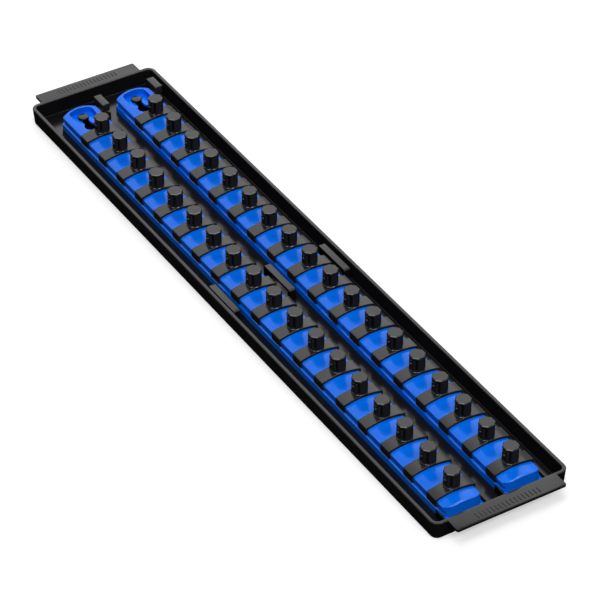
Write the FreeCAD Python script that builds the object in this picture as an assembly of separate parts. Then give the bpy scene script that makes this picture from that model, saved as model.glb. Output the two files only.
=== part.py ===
import FreeCAD, Part
import math
import os

# Socket organizer tray: a shallow drawer tray with a pull flange at each end, two rails that hook
# onto it, and socket clips that ride on the rails. Each clip is a saddle (the base) and a post that
# turns a quarter turn in it. Millimetres. X is the width, Y the length (the keyhole end of the
# rails is +Y), Z is up, and the origin is the middle of the underside.

V = FreeCAD.Vector
os.makedirs("parts", exist_ok=True)

# Tray
tray_length = 482.6
tray_width = 92.0
tray_height = 12.0
tray_wall = 2.5
tray_floor = 1.8
tray_draft = 1.0
tray_corner_radius = 5.5
tray_foot_round = 1.2
rim_round = 0.5

# Pull flanges on the two short ends
flange_width = 74.0
flange_reach = 9.4
flange_thickness = 1.9
flange_corner = 1.2

# Rails
rail_spacing = 40.0
rail_foot_width = 26.6
rail_top_width = 25.0
rail_groove_depth = 1.2
rail_groove_floor = 6.3
rail_groove_top = 8.1
rail_shoulder = 10.3
rail_crown_edge = 10.95
rail_crown = 12.6
rail_chamfer = 0.6
rail_far_setback = 21.8
rail_end_bulge = 3.3
rail_nose_setback = 9.1
rail_nose_slope = 1.6
rail_nose_corner = 6.5
rail_toe_height = 3.0
rail_release_travel = 10.0

# Keyhole at the far end of each rail, and the mushroom pin that it hooks over
pin_setback = 4.2
pin_neck_radius = 2.3
pin_head_radius = 3.5
pin_head_thickness = 1.7
pin_stem_radius = 1.5
pin_head_round = 0.5
keyhole_room = 0.7
keyhole_pocket_far_width = 16.6
keyhole_pocket_near_width = 15.8
keyhole_pocket_rim = 1.4
keyhole_pocket_behind = 9.8
keyhole_pocket_floor = 8.0
keyhole_pocket_corner = 2.2

# Socket clips
clip_count = 18
first_clip_setback = 30.5
last_clip_setback = 13.2
sliding_clips = range(4, 18, 2)
saddle_length = 9.0
saddle_thickness = 1.6
saddle_side_wall = 0.85
saddle_hook_height = 0.9
saddle_chamfer = 0.4
saddle_edge_round = 0.2

# Posts, for the three-eighths square of a socket
post_width = 9.3
post_corner_cut = 2.7
post_top = 25.4
post_top_chamfer = 0.4
post_collar_radius = 5.0
post_collar_height = 0.8
post_neck_radius = 2.9
post_lobe_radius = 4.3
post_lobe_width = 3.0
post_lobe_thickness = 0.65
post_head_thickness = 1.5
finger_sill = 0.3
finger_inset = 0.5
finger_thickness = 0.95
finger_slot = 1.2
finger_top_gap = 1.1
finger_bump_radius = 1.0
finger_bump_drop = 3.3
finger_catch_height = 0.9
finger_catch_width = 2.4
finger_catch_reach = 0.8

# Side latches beside the far ends of the rails
latch_width = 5.4
latch_length = 12.7
latch_height = 11.5
latch_far_gap = 7.6
latch_barrel_radius = 1.2
latch_stub_radius = 0.8
latch_stub_length = 1.2
latch_ear_thickness = 1.6
latch_rail_distance = 2.4
latch_pad_length = 4.0
latch_pad_height = 2.2

# Bridges that stand on the floor half way along
bridge_length = 31.0
bridge_width = 4.4
bridge_top = 10.0
bridge_plate = 1.8
bridge_leg = 2.6
bridge_y = -0.5
bridge_wall_gap = 0.9

# Cheeks and hold-down lip at the near wall
cheek_thickness = 1.0
cheek_length = 12.5
cheek_height = 5.2
lip_reach = 2.6
lip_thickness = 1.6

# Clearances
slide_clearance = 0.15
pivot_clearance = 0.07
free_clearance = 0.3
seat_clearance = 0.05

half_length = tray_length / 2
half_width = tray_width / 2
inner_half_length = half_length - tray_wall - tray_draft
inner_half_width = half_width - tray_wall - tray_draft
rail_far_corner = half_length - rail_far_setback
rail_nose_y = -half_length + rail_nose_setback
pin_y = rail_far_corner - pin_setback
first_clip_y = rail_far_corner - first_clip_setback
last_clip_y = rail_nose_y + last_clip_setback
clip_pitch = (first_clip_y - last_clip_y) / (clip_count - 1)
rail_crown_half = rail_top_width / 2 - rail_chamfer
crown_drop = rail_crown - rail_crown_edge
crown_radius = (rail_crown_half**2 + crown_drop**2) / (2 * crown_drop)
crown_centre_z = rail_crown - crown_radius
saddle_under = rail_crown + slide_clearance
saddle_top = saddle_under + saddle_thickness
pin_slot_half = pin_neck_radius + slide_clearance
keyhole_radius = pin_head_radius + keyhole_room
keyhole_y = pin_y - rail_release_travel


def box_between(x0, x1, y0, y1, z0, z1):
    return Part.makeBox(x1 - x0, y1 - y0, z1 - z0, V(x0, y0, z0))


def upright_cylinder(radius, x, y, z0, z1):
    return Part.makeCylinder(radius, z1 - z0, V(x, y, z0))


def closed_face(edges):
    return Part.Face(Part.Wire(Part.__sortEdges__(edges)))


def polygon_edges(points):
    return [Part.LineSegment(a, b).toShape() for a, b in zip(points, points[1:])]


def rounded_rectangle(half_x, half_y, radius, z):
    # A wire of four straight sides and four quarter arcs, counter-clockwise from above.
    edges = []
    diagonal = radius * math.sqrt(0.5)
    corners = [(1, 1), (-1, 1), (-1, -1), (1, -1)]
    starts = [(half_x, half_y - radius), (-half_x + radius, half_y),
              (-half_x, -half_y + radius), (half_x - radius, -half_y)]
    ends = [(half_x - radius, half_y), (-half_x, half_y - radius),
            (-half_x + radius, -half_y), (half_x, -half_y + radius)]
    for index, (sx, sy) in enumerate(corners):
        centre_x = sx * (half_x - radius)
        centre_y = sy * (half_y - radius)
        middle = V(centre_x + sx * diagonal, centre_y + sy * diagonal, z)
        start = V(*starts[index], z)
        end = V(*ends[index], z)
        edges.append(Part.Arc(start, middle, end).toShape())
        edges.append(Part.LineSegment(end, V(*starts[(index + 1) % 4], z)).toShape())
    return Part.Wire(edges)


def edges_at_height(shape, z):
    found = []
    for edge in shape.Edges:
        box = edge.BoundBox
        if abs(box.ZMin - z) < 1e-4 and abs(box.ZMax - z) < 1e-4:
            found.append(edge)
    return found


def crown_arc(radius, half_chord, x):
    # The top line of a rail or saddle: an arc about the rail's crown centre, left to right.
    def point(dx):
        return V(x + dx, 0, crown_centre_z + math.sqrt(radius**2 - dx**2))
    return Part.Arc(point(-half_chord), point(0), point(half_chord)).toShape()


# ---------------------------------------------------------------- tray

def tray_pan():
    # The pan leans out towards its rim by the draft, inside and outside.
    outer = Part.makeLoft([
        rounded_rectangle(half_width - tray_draft, half_length - tray_draft,
                          tray_corner_radius - tray_draft, 0),
        rounded_rectangle(half_width, half_length, tray_corner_radius, tray_height)], True, True)
    outer = outer.makeFillet(tray_foot_round, edges_at_height(outer, 0))
    inner = Part.makeLoft([
        rounded_rectangle(inner_half_width, inner_half_length,
                          tray_corner_radius - tray_wall, tray_floor),
        rounded_rectangle(half_width - tray_wall, half_length - tray_wall,
                          tray_corner_radius - tray_wall, tray_height)], True, True)
    return outer, inner


def pull_flange(end):
    # A flat tongue level with the rim; end is +1 for the far end and -1 for the near one.
    tip = half_length + flange_reach
    reach = flange_reach + tray_wall
    plate = box_between(-flange_width / 2, flange_width / 2, tip - reach, tip,
                        tray_height - flange_thickness, tray_height)
    outer_corners = []
    for edge in plate.Edges:
        box = edge.BoundBox
        if box.ZLength > flange_thickness / 2 and box.YMin > tip - 0.1:
            outer_corners.append(edge)
    plate = plate.makeFillet(flange_corner, outer_corners)
    if end < 0:
        plate = plate.mirror(V(0, 0, 0), V(0, 1, 0))
    return plate


def nose_cheeks(x):
    # Two upright cheeks and a lip on the near wall hold the toe of a rail down and sideways.
    wall_y = -inner_half_length - tray_wall / 2
    inside = rail_foot_width / 2 + free_clearance
    pieces = []
    for side in (-1, 1):
        x0 = x + side * inside
        x1 = x0 + side * cheek_thickness
        pieces.append(box_between(min(x0, x1), max(x0, x1), wall_y,
                                  -inner_half_length + cheek_length,
                                  tray_floor, tray_floor + cheek_height))
    lip_z = tray_floor + rail_toe_height + free_clearance
    pieces.append(box_between(x - inside, x + inside, wall_y, -inner_half_length + lip_reach,
                              lip_z, lip_z + lip_thickness))
    return pieces


def latch_x(x):
    # The latch stands to the right of its rail, clear of the rail's foot.
    return x + rail_foot_width / 2 + latch_rail_distance + latch_width / 2


latch_y1 = inner_half_length - latch_far_gap
latch_y0 = latch_y1 - latch_length
latch_axis_z = tray_floor + latch_barrel_radius + seat_clearance


def latch_ears(x):
    centre = latch_x(x)
    ears = []
    for y0 in (latch_y0 - free_clearance - latch_ear_thickness, latch_y1 + free_clearance):
        ear = box_between(centre - 2 * latch_barrel_radius, centre + 2 * latch_barrel_radius,
                          y0, y0 + latch_ear_thickness,
                          tray_floor, latch_axis_z + 2 * latch_barrel_radius)
        bore = Part.makeCylinder(latch_stub_radius + pivot_clearance, latch_ear_thickness,
                                 V(centre, y0, latch_axis_z), V(0, 1, 0))
        ears.append(ear.cut(bore))
    return ears


def make_tray(rail_xs):
    outer, inner = tray_pan()
    flanges = [pull_flange(1), pull_flange(-1)]
    tray = outer.fuse(flanges).cut(inner).removeSplitter()
    tray = tray.makeFillet(rim_round, edges_at_height(tray, tray_height))
    details = []
    for x in rail_xs:
        details += nose_cheeks(x)
        details += latch_ears(x)
    tray = tray.fuse(details).removeSplitter()
    for x in rail_xs:
        hole = upright_cylinder(pin_stem_radius + pivot_clearance, x, pin_y, 0, tray_floor)
        tray = tray.cut(hole)
    return tray


# ---------------------------------------------------------------- rails

def rail_section(x):
    # Foot, side groove for the clips' hooks, bevelled top edge and a crowned top.
    foot = rail_foot_width / 2
    top = rail_top_width / 2
    groove = top - rail_groove_depth
    right = [(foot, tray_floor), (foot, rail_groove_floor - rail_chamfer),
             (foot - rail_chamfer, rail_groove_floor), (groove, rail_groove_floor),
             (groove, rail_groove_top), (top, rail_groove_top), (top, rail_shoulder),
             (rail_crown_half, rail_crown_edge)]
    right_points = [V(x + dx, 0, z) for dx, z in right]
    left_points = [V(x - dx, 0, z) for dx, z in right]
    edges = polygon_edges(right_points) + polygon_edges(left_points)
    edges.append(Part.LineSegment(left_points[0], right_points[0]).toShape())
    edges.append(crown_arc(crown_radius, rail_crown_half, x))
    return closed_face(edges)


def bulged_end(x, half, y, bulge, z):
    # One arc across a rail, between its two corners at y.
    return Part.Arc(V(x - half, y, z), V(x, y + bulge, z), V(x + half, y, z)).toShape()


def rail_outline(x, near, corner, z):
    # The rail from above: an arc at the far end, a straight nose with two round corners.
    half = rail_foot_width / 2
    diagonal = corner * (1 - math.sqrt(0.5))
    edges = [bulged_end(x, half, rail_far_corner, rail_end_bulge, z)]
    for side in (-1, 1):
        edge_x = x + side * half
        start = V(edge_x, near + corner, z)
        end = V(edge_x - side * corner, near, z)
        middle = V(edge_x - side * diagonal, near + diagonal, z)
        edges.append(Part.Arc(start, middle, end).toShape())
        edges.append(Part.LineSegment(V(edge_x, rail_far_corner, z), start).toShape())
    edges.append(Part.LineSegment(V(x - half + corner, near, z),
                                  V(x + half - corner, near, z)).toShape())
    return Part.Wire(Part.__sortEdges__(edges))


def rail_plan(x):
    # Above the toe the nose leans back to the crown; the toe runs straight on to the near wall.
    half = rail_foot_width / 2
    toe_y = -inner_half_length + free_clearance
    toe_top = tray_floor + rail_toe_height
    nose = Part.makeLoft([
        rail_outline(x, rail_nose_y - rail_nose_slope, rail_nose_corner, toe_top),
        rail_outline(x, rail_nose_y, rail_nose_corner, rail_crown)], True, True)
    foot = rail_outline(x, rail_nose_y - rail_nose_slope, rail_nose_corner, tray_floor)
    foot = Part.Face(foot).extrude(V(0, 0, rail_toe_height))
    toe = box_between(x - half, x + half, toe_y, rail_nose_y + rail_nose_corner,
                      tray_floor, toe_top)
    return nose.fuse([foot, toe])


def keyhole_pocket(x):
    # A sunk pocket that follows the rail's far arc and narrows towards the round hole.
    z = keyhole_pocket_floor
    far_half = keyhole_pocket_far_width / 2
    near_half = keyhole_pocket_near_width / 2
    near_y = keyhole_y - keyhole_pocket_behind
    arc_rise = rail_end_bulge * (2 * far_half / rail_foot_width) ** 2
    far_y = rail_far_corner + rail_end_bulge - keyhole_pocket_rim - arc_rise
    edges = [bulged_end(x, far_half, far_y, arc_rise, z)]
    edges += polygon_edges([V(x - far_half, far_y, z), V(x - far_half, pin_y, z),
                            V(x - near_half, near_y, z), V(x + near_half, near_y, z),
                            V(x + far_half, pin_y, z), V(x + far_half, far_y, z)])
    pocket = closed_face(edges).extrude(V(0, 0, rail_crown))
    upright = [edge for edge in pocket.Edges if edge.BoundBox.ZLength > rail_crown / 2]
    return pocket.makeFillet(keyhole_pocket_corner, upright)


def keyhole(x):
    # The pocket, a slot for the pin's neck and a round hole that its head passes.
    slot = box_between(x - pin_slot_half, x + pin_slot_half, keyhole_y, pin_y,
                       0, rail_crown)
    slot_end = upright_cylinder(pin_slot_half, x, pin_y, 0, rail_crown)
    hole = upright_cylinder(keyhole_radius, x, keyhole_y, 0, rail_crown)
    return [keyhole_pocket(x), slot, slot_end, hole]


def make_rail(x):
    section = rail_section(x)
    section.translate(V(0, -half_length, 0))
    body = section.extrude(V(0, tray_length, 0))
    body = body.common(rail_plan(x)).removeSplitter()
    return body.cut(keyhole(x))


# ---------------------------------------------------------------- pins

def make_pin(x):
    head_z = keyhole_pocket_floor + free_clearance
    stem = upright_cylinder(pin_stem_radius, x, pin_y, 0, tray_floor)
    neck = upright_cylinder(pin_neck_radius, x, pin_y, tray_floor, head_z)
    head_top = head_z + pin_head_thickness
    head = upright_cylinder(pin_head_radius, x, pin_y, head_z, head_top)
    head = head.makeFillet(pin_head_round, edges_at_height(head, head_top))
    return stem.fuse([neck, head])


# ---------------------------------------------------------------- clips

def saddle_section(x):
    # A crowned plate whose ends turn down over the rail and hook into its side grooves.
    inside = rail_top_width / 2 + slide_clearance
    outside = inside + saddle_side_wall
    hook_tip = rail_top_width / 2 - rail_groove_depth + slide_clearance
    hook_top = rail_groove_top - slide_clearance
    hook_foot = hook_top - saddle_hook_height
    under_radius = crown_radius + slide_clearance
    top_radius = under_radius + saddle_thickness
    under_half = rail_crown_half
    under_edge = crown_centre_z + math.sqrt(under_radius**2 - under_half**2)
    top_half = outside - saddle_chamfer
    top_edge = crown_centre_z + math.sqrt(top_radius**2 - top_half**2)
    right = [(under_half, under_edge), (inside, rail_shoulder), (inside, hook_top),
             (hook_tip, hook_top), (hook_tip, hook_foot), (outside, hook_foot),
             (outside, top_edge - saddle_chamfer), (top_half, top_edge)]
    edges = []
    for side in (-1, 1):
        edges += polygon_edges([V(x + side * dx, 0, z) for dx, z in right])
    edges.append(crown_arc(under_radius, under_half, x))
    edges.append(crown_arc(top_radius, top_half, x))
    return closed_face(edges)


def make_saddle(x, y):
    section = saddle_section(x)
    section.translate(V(0, y - saddle_length / 2, 0))
    body = section.extrude(V(0, saddle_length, 0))
    top_edges = []
    for edge in body.Edges:
        box = edge.BoundBox
        across = box.YLength < 1e-4 and box.XLength > rail_crown_half
        if across and box.ZMax > (saddle_under + saddle_top) / 2:
            top_edges.append(edge)
    body = body.makeFillet(saddle_edge_round, top_edges)
    bore = upright_cylinder(post_neck_radius + pivot_clearance, x, y, rail_groove_top, post_top)
    lobe_room = post_lobe_radius + pivot_clearance
    seat_top = saddle_top - saddle_thickness / 2
    seat = upright_cylinder(lobe_room, x, y, rail_groove_top, seat_top)
    # The lobes go in through this slot at an eighth turn, outside the working quarter turn.
    slot_half = post_lobe_width / 2 + slide_clearance
    slot = box_between(x - lobe_room, x + lobe_room, y - slot_half, y + slot_half,
                       rail_groove_top, post_top)
    slot = slot.common(upright_cylinder(lobe_room, x, y, rail_groove_top, post_top))
    slot.rotate(V(x, y, 0), V(0, 0, 1), -45)
    return body.cut([bore, seat, slot])


def cut_corner_prism(half, cut, z0, z1):
    # A square prism with its four upright corners cut off flat.
    inner = half - cut
    outline = [(half, -inner), (half, inner), (inner, half), (-inner, half),
               (-half, inner), (-half, -inner), (-inner, -half), (inner, -half)]
    points = [V(px, py, z0) for px, py in outline]
    face = closed_face(polygon_edges(points + points[:1]))
    return face.extrude(V(0, 0, z1 - z0))


def make_post(x, y):
    # Eight-sided on a round collar; the neck and its two lobes sit in the saddle. A slot right
    # across frees a springy finger on one side, which stays below the head.
    collar_z = saddle_top + seat_clearance
    body_z = collar_z + post_collar_height
    lobe_top = saddle_top - saddle_thickness / 2 - seat_clearance
    lobe_foot = lobe_top - post_lobe_thickness
    half = post_width / 2
    body = cut_corner_prism(half, post_corner_cut, body_z, post_top)
    body = body.makeChamfer(post_top_chamfer, edges_at_height(body, post_top))
    collar = upright_cylinder(post_collar_radius, 0, 0, collar_z, body_z)
    neck = upright_cylinder(post_neck_radius, 0, 0, lobe_foot, collar_z)
    lobes = box_between(-post_lobe_radius, post_lobe_radius, -post_lobe_width / 2,
                        post_lobe_width / 2, lobe_foot, lobe_top)
    lobes = lobes.common(upright_cylinder(post_lobe_radius, 0, 0, lobe_foot, lobe_top))
    sill = body_z + finger_sill
    head = post_top - post_head_thickness
    face_x = -half + finger_inset
    inner_x = face_x + finger_thickness
    tip = head - finger_top_gap
    window = box_between(-post_width, inner_x + finger_slot, -post_width, post_width,
                         sill, head)
    finger = cut_corner_prism(half, post_corner_cut, body_z, tip)
    finger = finger.common(box_between(face_x, inner_x, -half, half, body_z, tip))
    bump = Part.makeSphere(finger_bump_radius, V(face_x, 0, tip - finger_bump_drop))
    catch = box_between(face_x - finger_catch_reach, inner_x, -finger_catch_width / 2,
                        finger_catch_width / 2, tip - finger_catch_height, tip)
    post = body.cut(window).fuse([collar, neck, lobes, finger, bump, catch]).removeSplitter()
    post.translate(V(x, y, 0))
    return post


# ---------------------------------------------------------------- latches and bridges

def make_latch(x):
    # A finger that pivots at its foot; its pad stands beside the flank of the rail's foot.
    centre = latch_x(x)
    axis = V(centre, latch_y0, latch_axis_z)
    barrel = Part.makeCylinder(latch_barrel_radius, latch_length, axis, V(0, 1, 0))
    stub_start = V(centre, latch_y0 - latch_stub_length, latch_axis_z)
    stubs = Part.makeCylinder(latch_stub_radius, latch_length + 2 * latch_stub_length,
                              stub_start, V(0, 1, 0))
    web = box_between(centre - latch_barrel_radius, centre + latch_barrel_radius,
                      latch_y0, latch_y1, latch_axis_z, latch_height / 2)
    block = box_between(centre - latch_width / 2, centre + latch_width / 2, latch_y0, latch_y1,
                        latch_height / 2, latch_height)
    block = block.makeChamfer(rail_chamfer / 2, edges_at_height(block, latch_height))
    pad_x0 = x + rail_foot_width / 2 + free_clearance
    pad_z0 = latch_height / 2
    pad = box_between(pad_x0, centre, latch_y0, latch_y0 + latch_pad_length,
                      pad_z0, pad_z0 + latch_pad_height)
    return barrel.fuse([stubs, web, block, pad]).removeSplitter()


def make_bridge(x):
    half = bridge_length / 2
    bar = box_between(x - bridge_width / 2, x + bridge_width / 2, bridge_y - half,
                      bridge_y + half, tray_floor, bridge_top)
    gap = box_between(x - bridge_width, x + bridge_width, bridge_y - half + bridge_leg,
                      bridge_y + half - bridge_leg, tray_floor, bridge_top - bridge_plate)
    bar = bar.makeFillet(bridge_leg / 2, [e for e in edges_at_height(bar, bridge_top)
                                          if e.BoundBox.XLength > bridge_width / 2])
    return bar.cut(gap)


# ---------------------------------------------------------------- nodes

def save(name, solids):
    shape = solids[0] if len(solids) == 1 else Part.makeCompound(solids)
    shape.exportStep("parts/" + name + ".step")
    count = len(shape.Solids)
    print(f"{name}: {count} solids, {shape.Volume / 1000:.2f} cm3, valid {shape.isValid()}")


rails = {"left": -rail_spacing / 2, "right": rail_spacing / 2}

save("tray", [make_tray(rails.values())])
save("rail_pins", [make_pin(x) for x in rails.values()])
wall_bridge_x = inner_half_width - bridge_wall_gap - bridge_width / 2
save("mid_bridges", [make_bridge(x) for x in (-wall_bridge_x, 0, wall_bridge_x)])

for side, rail_x in rails.items():
    save(f"rail_{side}", [make_rail(rail_x)])
    save(f"latch_{side}", [make_latch(rail_x)])
    fixed_saddles = []
    for number in range(1, clip_count + 1):
        clip_y = first_clip_y - (number - 1) * clip_pitch
        save(f"clip_post_{side}_{number:02d}", [make_post(rail_x, clip_y)])
        if number in sliding_clips:
            save(f"clip_base_{side}_{number:02d}", [make_saddle(rail_x, clip_y)])
        else:
            fixed_saddles.append(make_saddle(rail_x, clip_y))
    save(f"clip_bases_{side}_set", fixed_saddles)
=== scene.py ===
# %% [markdown]
# A drawer tray for sockets: a shallow black tray with a pull flange at each end, two glossy
# blue rails, and eighteen black clips on each rail. Each clip is a saddle that grips the rail
# and a post that turns in it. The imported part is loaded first. It gives the places of
# everything below, and each piece made here rides on one of its bodies.

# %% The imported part
import bmesh
import bpy
import math
import numpy as np
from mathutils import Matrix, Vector


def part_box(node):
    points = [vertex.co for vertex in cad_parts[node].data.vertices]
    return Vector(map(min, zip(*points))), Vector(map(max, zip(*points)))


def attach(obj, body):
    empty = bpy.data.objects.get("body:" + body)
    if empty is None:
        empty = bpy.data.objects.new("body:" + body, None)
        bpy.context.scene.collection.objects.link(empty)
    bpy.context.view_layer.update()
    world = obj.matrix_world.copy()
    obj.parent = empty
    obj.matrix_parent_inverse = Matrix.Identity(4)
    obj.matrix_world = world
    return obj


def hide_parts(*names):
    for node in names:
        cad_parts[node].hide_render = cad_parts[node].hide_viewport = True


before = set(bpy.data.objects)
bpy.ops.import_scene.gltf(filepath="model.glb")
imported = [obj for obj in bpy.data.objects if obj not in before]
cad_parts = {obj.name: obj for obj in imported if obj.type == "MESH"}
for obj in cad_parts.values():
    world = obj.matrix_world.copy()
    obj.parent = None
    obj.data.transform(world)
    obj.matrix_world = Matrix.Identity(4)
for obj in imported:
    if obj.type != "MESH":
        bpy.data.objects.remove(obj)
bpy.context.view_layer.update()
MM = 0.001

# %% [markdown]
# Shader maths reads best as plain expressions. This small class wraps one output socket of a
# node tree, and each operator adds the Math node that does its sum.

# %% Sums of sockets
class Value:
    """One output socket. A sum or product of values is the output of a new Math node."""

    def __init__(self, tree, socket):
        self.tree = tree
        self.socket = socket

    def maths(self, operation, first, second):
        """The Math node for one operation, as a new value."""
        return self.tree.add("ShaderNodeMath", {"operation": operation}, {0: first, 1: second})

    def __add__(self, other):
        return self.maths("ADD", self, other)

    def __radd__(self, other):
        return self.maths("ADD", other, self)

    def __mul__(self, other):
        return self.maths("MULTIPLY", self, other)

    def __rmul__(self, other):
        return self.maths("MULTIPLY", other, self)


print("sockets can be added and multiplied")

# %% [markdown]
# A finish is the node tree of one material, or of the room round the tray. Its add() makes any
# node from the node's type, its settings and the values of its sockets, so that a whole
# material becomes a few lines of sums.

# %% A finish written as expressions
class Finish:
    def __init__(self, owner):
        self.owner = owner
        owner.use_nodes = True
        self.nodes = owner.node_tree.nodes
        self.links = owner.node_tree.links
        self.nodes.clear()

    def add(self, kind, settings=None, values=None, output=0):
        """A new node: the settings go first, then each socket gets a link or a plain number."""
        node = self.nodes.new(kind)
        for key, value in (settings or {}).items():
            setattr(node, key, value)
        for key, value in (values or {}).items():
            if isinstance(value, Value):
                self.links.new(value.socket, node.inputs[key])
            else:
                node.inputs[key].default_value = value
        return Value(self, node.outputs[output]) if node.outputs else None

    def mix(self, share, first, second):
        """A colour between two colours; share is 0 for the first and 1 for the second."""
        return self.add("ShaderNodeMix", {"data_type": "RGBA"},
                        {0: share, 6: first, 7: second}, output=2)

    def finish(self, shader, kind="ShaderNodeOutputMaterial"):
        """Links the shader to the output node, and gives back the material or world."""
        self.add(kind, {}, {"Surface": shader})
        return self.owner


def srgb(red, green, blue):
    """The linear colour of 0-255 screen values, by the sRGB curve."""
    parts = [c / 255 for c in (red, green, blue)]
    return [c / 12.92 if c <= 0.04045 else ((c + 0.055) / 1.055) ** 2.4 for c in parts] + [1.0]


print("finishes can be written; middle grey is", round(srgb(128, 128, 128)[0], 3), "in the nodes")

# %% [markdown]
# Polished plastic mirrors what stands over it: here the upright walls look nearly black, the
# flat tops grey, and the narrow slants between them bright. A thin clear coat does this
# mirroring, and the plastic below it hardly any. The coat's weight follows from the way a face
# points, which is the normal's z: none on walls, most on slants, and less on flat tops.

# %% Gloss by the way a face points
WALLS_END, SLANTS_START = 0.35, 0.6
SLANTS_END, TOPS_START = 0.8, 0.95


def polish(made, edge, top):
    """Coat weight: a ramp from 0 on walls to edge on slants, times one from 1 to top / edge."""
    normal = made.add("ShaderNodeTexCoord", output="Normal")
    up = made.add("ShaderNodeSeparateXYZ", {}, {0: normal}, output="Z")
    off_walls = made.add("ShaderNodeMapRange", {}, {
        "Value": up, "From Min": WALLS_END, "From Max": SLANTS_START, "To Max": edge})
    onto_tops = made.add("ShaderNodeMapRange", {}, {
        "Value": up, "From Min": SLANTS_END, "From Max": TOPS_START,
        "To Min": 1.0, "To Max": top / edge})
    return off_walls * onto_tops


print("full gloss on faces that lean", round(math.degrees(math.acos(SLANTS_END))), "to",
      round(math.degrees(math.acos(SLANTS_START))), "degrees")

# %% [markdown]
# The tray and the clips are black moulded plastic. The mould leaves a fine spark-eroded grain
# on it, which breaks up the light, and slow clouds where the plastic flowed, which change how
# shiny it is. Both come from noise on object coordinates, so they stay fixed to the piece. The
# tray's grain is finer and deeper than the clips'.

# %% Black moulded plastic
CLOUD_SCALE, CLOUD_ROUGHNESS = 60.0, 0.12
TRAY_BLACK = dict(dark=(14, 14, 15), light=(22, 22, 23), grain_mm=0.45, grain_depth=0.03,
                  roughness=0.18, edge=0.6, top=0.4)
CLIP_BLACK = dict(dark=(32, 32, 33), light=(42, 42, 43), grain_mm=0.7, grain_depth=0.015,
                  roughness=0.15, edge=0.75, top=0.37)


def moulded_black(name, dark, light, grain_mm, grain_depth, roughness, edge, top):
    """Fine noise is the bump; slow noise blends two blacks and adds to the roughness."""
    made = Finish(bpy.data.materials.new(name))
    place = made.add("ShaderNodeTexCoord", output="Object")
    grain = made.add("ShaderNodeTexNoise", {}, {"Vector": place, "Scale": 1 / (grain_mm * MM),
                                                "Detail": 3.0, "Roughness": 0.6})
    cloud = made.add("ShaderNodeTexNoise", {}, {"Vector": place, "Scale": CLOUD_SCALE,
                                                "Detail": 4.0})
    bump = made.add("ShaderNodeBump", {}, {"Height": grain, "Distance": grain_depth * MM})
    shader = made.add("ShaderNodeBsdfPrincipled", {}, {
        "Base Color": made.mix(cloud, srgb(*dark), srgb(*light)), "Normal": bump,
        "Roughness": roughness + CLOUD_ROUGHNESS * cloud, "Specular IOR Level": 0.0,
        "Coat Weight": polish(made, edge, top), "Coat Roughness": roughness})
    return made.finish(shader)


finishes = {"tray_black": moulded_black("grained_black", **TRAY_BLACK),
            "clip_black": moulded_black("satin_black", **CLIP_BLACK)}
print("two blacks:", sorted(finishes))

# %% [markdown]
# The rails are blue plastic with a gloss from a polished mould. Such a face isn't a perfect
# mirror: its moulded skin waves a little, so a broad soft bump bends the reflections, and the
# roughness wanders. On the flat crown the coat is thin, so that the blue stays deep there.

# %% Glossy blue plastic
DEEP_BLUE, BRIGHT_BLUE = (0, 102, 226), (3, 110, 238)
BLUE_ROUGHNESS, BLUE_CLOUD_ROUGHNESS, BLUE_COAT_ROUGHNESS = 0.2, 0.08, 0.15
BLUE_CLOUD_SCALE, WAVE_SCALE, WAVE_DEPTH = 50.0, 140.0, 0.03


def blue_gloss():
    """A broad shallow wave is the bump; slow noise blends two blues and sets the roughness."""
    made = Finish(bpy.data.materials.new("polished_blue"))
    place = made.add("ShaderNodeTexCoord", output="Object")
    cloud = made.add("ShaderNodeTexNoise", {}, {"Vector": place, "Scale": BLUE_CLOUD_SCALE,
                                                "Detail": 3.0})
    wave = made.add("ShaderNodeTexNoise", {}, {"Vector": place, "Scale": WAVE_SCALE,
                                               "Detail": 1.0})
    bump = made.add("ShaderNodeBump", {}, {"Height": wave, "Distance": WAVE_DEPTH * MM})
    shader = made.add("ShaderNodeBsdfPrincipled", {}, {
        "Base Color": made.mix(cloud, srgb(*DEEP_BLUE), srgb(*BRIGHT_BLUE)), "Normal": bump,
        "Roughness": BLUE_ROUGHNESS + BLUE_CLOUD_ROUGHNESS * cloud, "Specular IOR Level": 0.03,
        "Coat Weight": polish(made, edge=1.0, top=0.13), "Coat Roughness": BLUE_COAT_ROUGHNESS})
    return made.finish(shader)


finishes["rail_blue"] = blue_gloss()
print("one blue, and finishes in all:", len(finishes))

# %% [markdown]
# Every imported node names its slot, and gets the finish of that name. The clips' saddles keep
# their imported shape, because it is already the real one. Finer pieces stand in for all the
# other nodes, and are made below.

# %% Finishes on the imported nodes
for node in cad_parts.values():
    slot = node.material_slots[0]
    slot.material = finishes[slot.material.name]
print("finishes on", len(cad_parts), "nodes of the packed part")

# %% [markdown]
# Every new piece is a quilt. Each patch is a grid of points worked out from two parameters, and
# the patches are sewn where their edges meet. This reads better than one big formula, and it
# keeps the faces square. The doubled points are merged, the faces are turned outwards, and a
# narrow bevel rounds the sharp edges, as a mould does.

# %% Sewing patches into a piece
SEAM, SLIVER = 0.004 * MM, 0.001 * MM


def quads(patch, start):
    """The square (i, j), (i+1, j), (i+1, j+1), (i, j+1) for each step of a grid of points."""
    rows, columns = patch.shape[:2]
    i, j = np.meshgrid(np.arange(rows - 1), np.arange(columns - 1), indexing="ij")
    first = start + i * columns + j
    return np.stack([first, first + columns, first + columns + 1, first + 1], -1).reshape(-1, 4)


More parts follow.
